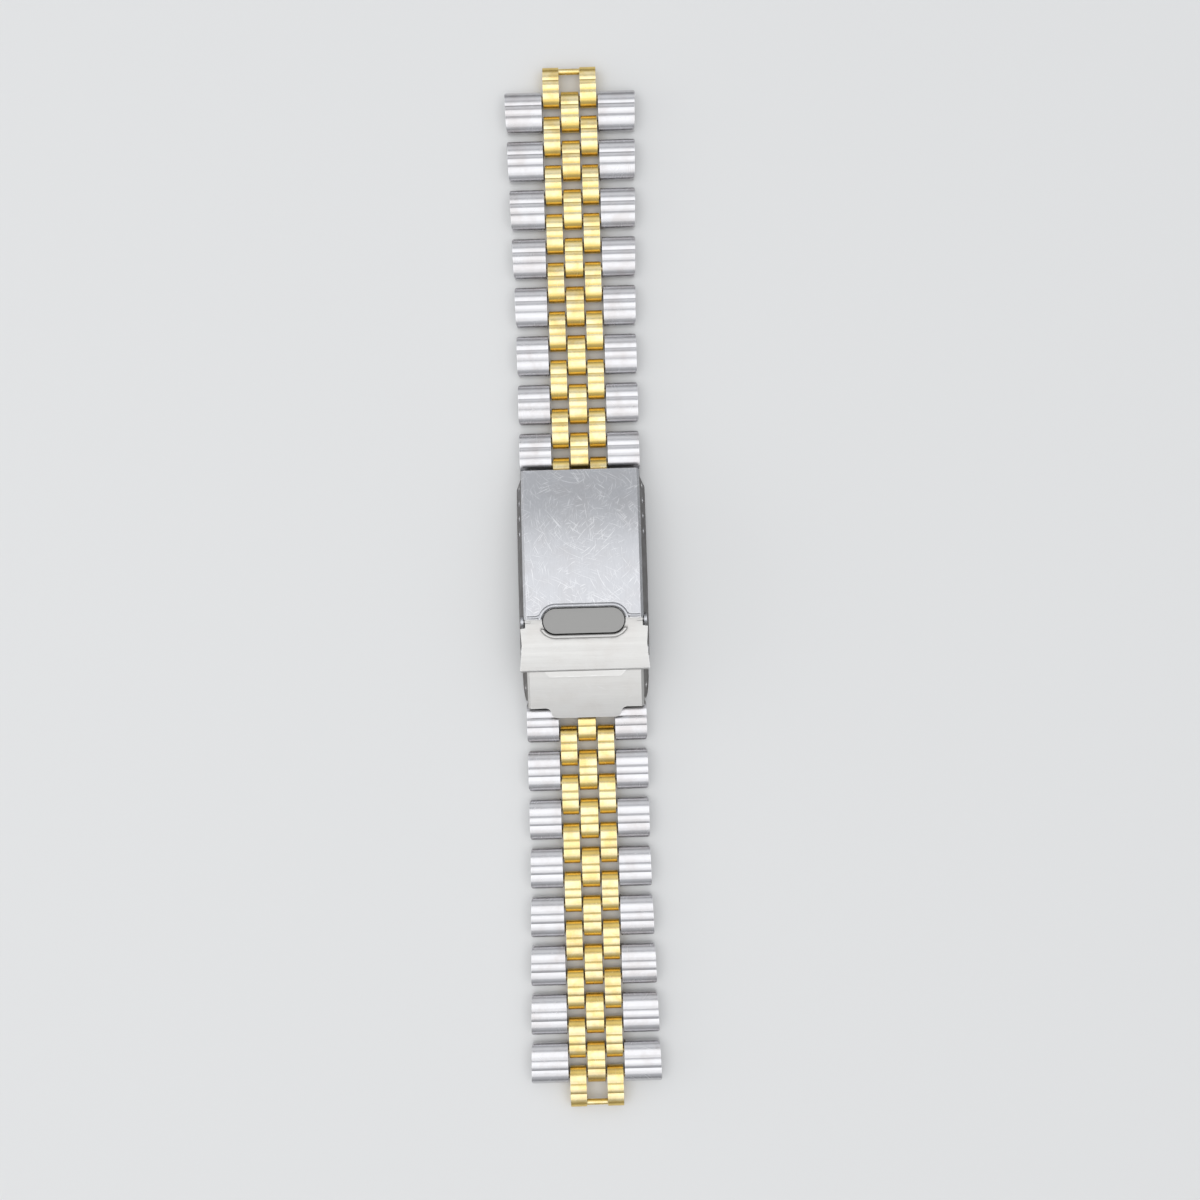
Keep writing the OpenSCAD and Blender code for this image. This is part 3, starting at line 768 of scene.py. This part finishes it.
@dataclass
class SubAssembly:
    """Pieces that belong together, with the rounding of their edges.

    Attributes:
        name: The sub-assembly's name.
        starts: What the names of its pieces start with.
        edge: The width of the rounding of an edge, in metres.
        pin_edge: The same on a pin.
        rounding_steps: How many faces a rounding has.
    """

    name: str
    starts: tuple[str, ...]
    edge: float = 0.06 * MM
    pin_edge: float = 0.04 * MM
    rounding_steps: int = 2

    def dress(self, frame: dict, wardrobe: Wardrobe) -> None:
        """Eases the edges of each of its pieces and puts their finishes on.

        Args:
            wardrobe: The finishes and the step for the creases.
        """
        for name, node in frame["nodes"].items():
            if not name.startswith(self.starts):
                continue
            slot = self.slot(name, wardrobe)
            self.ease(node, self.pin_edge if slot == "pin_steel" else self.edge, wardrobe)
            node.data.materials.clear()
            node.data.materials.append(wardrobe.finishes[slot])
            log.info("%s: %s has the finish %s", self.name, name, wardrobe.finishes[slot].name)

    def slot(self, name: str, wardrobe: Wardrobe) -> str:
        """Gives the slot of a piece's finish."""
        return wardrobe.slots[name]

    def ease(self, node: bpy.types.Object, width: float, wardrobe: Wardrobe) -> None:
        """Joins a piece's faces and rounds its sharp edges, without touching its mesh.

        Args:
            node: The piece's object.
            width: The width of the rounding, in metres.
            wardrobe: The step for the creases, and the angle of a sharp edge.
        """
        node.modifiers.new("creased", "NODES").node_group = wardrobe.creases
        bevel = node.modifiers.new("eased", "BEVEL")
        bevel.width = width
        bevel.segments = self.rounding_steps
        bevel.limit_method = "ANGLE"
        bevel.angle_limit = wardrobe.sharp
        bevel.harden_normals = True
        bevel.use_clamp_overlap = True


@dataclass
class LinkChain(SubAssembly):
    """One of the two chains: its steel outer links, and its gold inner and centre links with their pins."""


@dataclass
class FoldingClasp(SubAssembly):
    """The clasp: its cover, catch, end cap, two blades and pins.

    Attributes:
        satin: The pieces whose finish is satin instead of that of their slot.
    """

    name: str = "folding clasp"
    starts: tuple[str, ...] = ("clasp_", "safety_", "cover_", "folding_", "base_", "end_", "blade_")
    satin: tuple[str, ...] = ("safety_catch", "end_cap")

    def slot(self, name: str, wardrobe: Wardrobe) -> str:
        """Gives the slot of a piece's finish: the catch and the end cap are satin."""
        return "satin_steel" if name in self.satin else wardrobe.slots[name]


@dataclass
class SpringBar(SubAssembly):
    """The sprung bar that holds the upper chain in the cover: its tube, spring and two tips."""

    name: str = "spring bar"
    starts: tuple[str, ...] = ("spring_",)


@dataclass(frozen=True)
class Panel:
    """One soft rectangular lamp: where it hangs, what it faces, its width and height, and its light."""

    name: str
    place: Place
    aim: Place
    size: Span
    power: float
    colour: Colour = (1.0, 1.0, 1.0)

    def hang(self) -> None:
        """Hangs the lamp."""
        light = bpy.data.lights.new(self.name, "AREA")
        light.shape = "RECTANGLE"
        light.size, light.size_y = self.size
        light.energy = self.power
        light.color = self.colour
        lamp = bpy.data.objects.new(self.name, light)
        lamp.location = self.place
        lamp.rotation_euler = (Vector(self.aim) - Vector(self.place)).to_track_quat("-Z", "Y").to_euler()
        bpy.context.scene.collection.objects.link(lamp)


@dataclass
class Studio:
    """A pale floor, soft light from above and the camera straight over the bracelet.

    Attributes:
        floor_colour: The floor's colour.
        floor_half: Half the floor's width, in metres.
        floor_below: How far the floor lies below the bracelet, in metres.
        floor_rough: The floor's roughness.
        floor_gleam: How much the floor gleams.
        room_colour: The colour of the room's light.
        wall_top: How high the walls reach, as the height of the direction in which they are seen.
        wall_light: The strength of the light at the foot of the walls.
        ceiling_light: The strength of the ceiling's light.
        camera_height: How high the camera hangs, in metres.
        camera_at: The place over which it hangs, in metres.
        camera_roll: How far it is turned about its own axis.
        camera_near: How near it begins to see, in metres.
        lens: Its focal length, in millimetres.
        panels: The lamps.
    """

    floor_colour: Colour = (0.74, 0.74, 0.735)
    floor_half: float = 1.5
    floor_below: float = 0.01 * MM
    floor_rough: float = 0.9
    floor_gleam: float = 0.2
    room_colour: Colour = (0.94, 0.965, 1.0)
    wall_top: float = 0.6
    wall_light: float = 0.25
    ceiling_light: float = 0.65
    camera_height: float = 0.2188
    camera_at: Span = (0.0025, -0.0021)
    camera_roll: float = math.radians(-1.6)
    camera_near: float = 0.01
    lens: float = 42.7
    panels: tuple[Panel, ...] = (
        Panel("overhead panel", (-0.1, 0.015, 0.8), (-0.1, 0.015, 0.0), (1.3, 0.65), 2.75),
        Panel("far panel", (-0.1, 0.671, 0.522), (0.0, 0.0, 0.0), (1.3, 0.42), 0.6),
        Panel("near panel", (0.05, -0.463, 0.713), (0.0, 0.0, 0.0), (1.2, 0.36), 1.0, (1.0, 0.99, 0.98)),
        Panel("left panel", (-0.75, 0.0, 0.16), (0.0, 0.0, 0.0), (0.9, 0.3), 1.2),
    )

    def build(self) -> None:
        """Builds the floor, the world, the lamps and the camera."""
        self.floor()
        self.world()
        for panel in self.panels:
            panel.hang()
        self.camera()

    def floor(self) -> None:
        """Lays a plain pale floor just under the bracelet."""
        half = self.floor_half
        mesh = bpy.data.meshes.new("floor")
        corners = [(-half, -half, 0), (half, -half, 0), (half, half, 0), (-half, half, 0)]
        mesh.from_pydata(corners, [], [tuple(range(len(corners)))])
        floor = bpy.data.objects.new("floor", mesh)
        floor.location.z = -self.floor_below
        bpy.context.scene.collection.objects.link(floor)
        material = bpy.data.materials.new("plain floor")
        material.use_nodes = True
        shader = material.node_tree.nodes["Principled BSDF"]
        shader.inputs["Base Color"].default_value = (*self.floor_colour, 1.0)
        shader.inputs["Roughness"].default_value = self.floor_rough
        shader.inputs["Specular IOR Level"].default_value = self.floor_gleam
        mesh.materials.append(material)

    def world(self) -> None:
        """Lights the room softly: a pale ceiling over walls that get darker towards the table."""
        world = bpy.data.worlds.new("room")
        world.use_nodes = True
        bpy.context.scene.world = world
        desk = Tree(world.node_tree)
        back = world.node_tree.nodes["Background"].inputs
        back["Color"].default_value = (*self.room_colour, 1.0)
        height = desk.split(desk.put("TexCoord").outputs["Generated"])[2]
        desk.feed(back["Strength"], desk.ramp(height, (0.0, self.wall_top), (self.wall_light, self.ceiling_light)))

    def camera(self) -> None:
        """Hangs the camera straight over the bracelet, about two hands' widths above it."""
        data = bpy.data.cameras.new("camera")
        data.lens = self.lens
        data.clip_start = self.camera_near
        camera = bpy.data.objects.new("camera", data)
        camera.location = (*self.camera_at, self.camera_height)
        camera.rotation_euler = (0.0, 0.0, self.camera_roll)
        bpy.context.scene.collection.objects.link(camera)
        bpy.context.scene.camera = camera


def main() -> None:
    """Dresses the sub-assemblies in order and sets up the studio."""
    logging.basicConfig(level=logging.INFO, format="%(message)s")
    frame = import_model()
    wardrobe = Wardrobe.fill(frame)
    chains = (LinkChain("upper chain", ("upper_",)), LinkChain("lower chain", ("lower_",)))
    for assembly in (*chains, FoldingClasp(), SpringBar()):
        assembly.dress(frame, wardrobe)
    scene = bpy.context.scene
    scene.view_settings.view_transform = "Standard"
    Studio().build()


if __name__ == "__main__":
    main()
